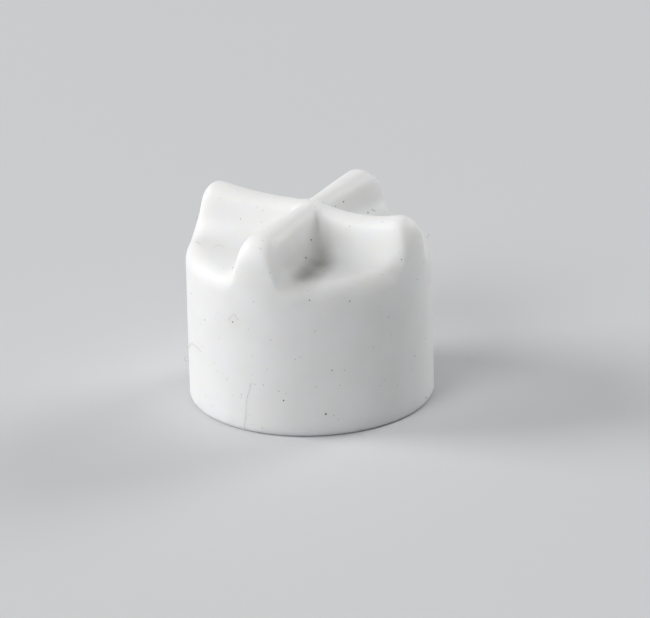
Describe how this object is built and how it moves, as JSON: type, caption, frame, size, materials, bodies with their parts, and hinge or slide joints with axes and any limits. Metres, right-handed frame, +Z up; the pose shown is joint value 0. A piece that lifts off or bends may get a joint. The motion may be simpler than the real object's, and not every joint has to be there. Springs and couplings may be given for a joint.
{
  "type": "magnetic stir bar",
  "caption": "Upright round stir bar for small flasks: a white moulded body with a crossed-ridge crown and a bar magnet sealed inside.",
  "frame": {"origin": "middle of the flat base, on the surface that the bar stands on", "axes": "+Z up along the axis of the round body; the crossed ridges run along X and Y; the magnet lies along X"},
  "size_m": [0.01, 0.01, 0.0084],
  "materials": {
    "ptfe": "smooth waxy white PTFE, slightly translucent, with a soft sheen",
    "magnet_alloy": "cast and ground aluminium-nickel-cobalt magnet alloy, dull grey"
  },
  "bodies": {
    "root": {"ptfe_jacket": "ptfe", "magnet": "magnet_alloy"}
  },
  "joints": []
}
